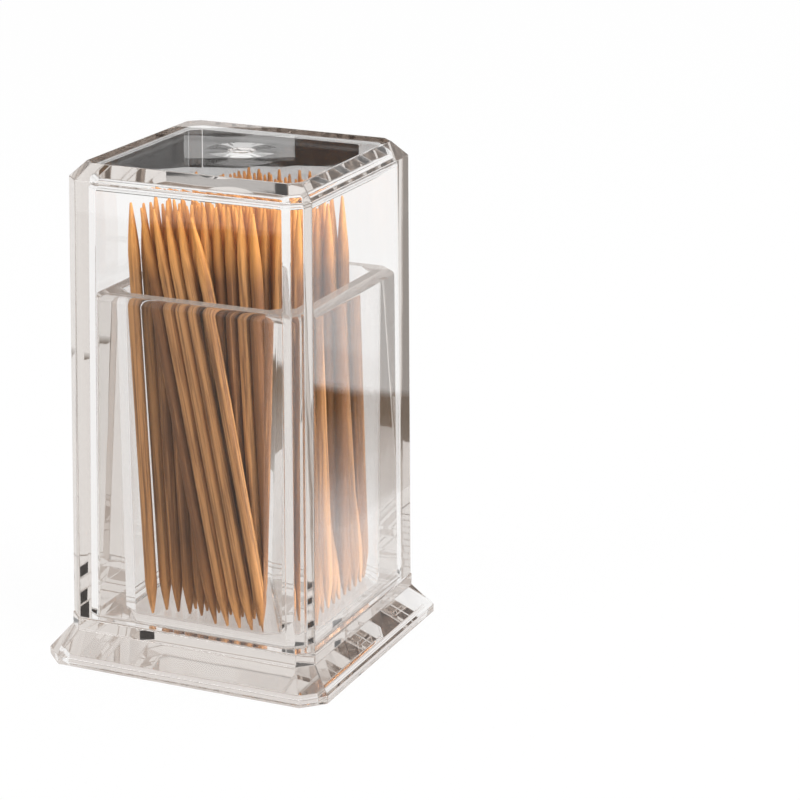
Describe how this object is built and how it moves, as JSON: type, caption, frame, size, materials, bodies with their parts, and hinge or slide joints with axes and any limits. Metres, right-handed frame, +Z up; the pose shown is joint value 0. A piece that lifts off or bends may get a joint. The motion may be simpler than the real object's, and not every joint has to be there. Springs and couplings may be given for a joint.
{
  "type": "toothpick holder",
  "caption": "Clear square toothpick holder: a cup on a flanged base, filled with double-pointed toothpicks, under a lift-off cover with a bevelled top.",
  "frame": {"origin": "middle of the underside, on the table", "axes": "+Z up; the wide face that the picture shows looks along -Y, its narrower face along +X"},
  "size_m": [0.0472, 0.0472, 0.0777],
  "materials": {
    "holder_plastic": "clear, polished",
    "cover_plastic": "clear, polished",
    "bamboo": "bare, fine straight grain"
  },
  "bodies": {
    "base": {"holder": "holder_plastic", "toothpick_01": "bamboo", "toothpick_02": "bamboo", "toothpick_03": "bamboo", "toothpick_04": "bamboo", "toothpick_05": "bamboo", "toothpick_06": "bamboo", "toothpick_07": "bamboo", "toothpick_08": "bamboo", "toothpick_09": "bamboo", "toothpick_10": "bamboo", "toothpick_11": "bamboo", "toothpick_12": "bamboo", "toothpick_13": "bamboo", "toothpick_14": "bamboo", "toothpick_15": "bamboo", "toothpick_16": "bamboo", "toothpick_17": "bamboo", "toothpick_18": "bamboo", "toothpick_19": "bamboo", "toothpick_20": "bamboo", "toothpick_21": "bamboo", "toothpick_22": "bamboo", "toothpick_23": "bamboo", "toothpick_24": "bamboo", "toothpick_25": "bamboo", "toothpick_26": "bamboo", "toothpick_27": "bamboo", "toothpick_28": "bamboo", "toothpick_29": "bamboo", "toothpick_30": "bamboo", "toothpick_31": "bamboo", "toothpick_32": "bamboo", "toothpick_33": "bamboo", "toothpick_34": "bamboo", "toothpick_35": "bamboo", "toothpick_36": "bamboo", "toothpick_37": "bamboo", "toothpick_38": "bamboo", "toothpick_39": "bamboo", "toothpick_40": "bamboo", "toothpick_41": "bamboo", "toothpick_42": "bamboo", "toothpick_43": "bamboo", "toothpick_44": "bamboo", "toothpick_45": "bamboo", "toothpick_46": "bamboo", "toothpick_47": "bamboo", "toothpick_48": "bamboo", "toothpick_row_07": "bamboo", "toothpick_row_08": "bamboo", "toothpick_row_09": "bamboo", "toothpick_row_10": "bamboo", "toothpick_row_11": "bamboo", "toothpick_row_12": "bamboo", "toothpick_row_13": "bamboo"},
    "cover": {"cover": "cover_plastic"}
  },
  "joints": [
    {"name": "cover_lift", "type": "slide", "parent": "base", "child": "cover", "axis": [0, 0, 1], "range_m": [0, 0.075]}
  ]
}
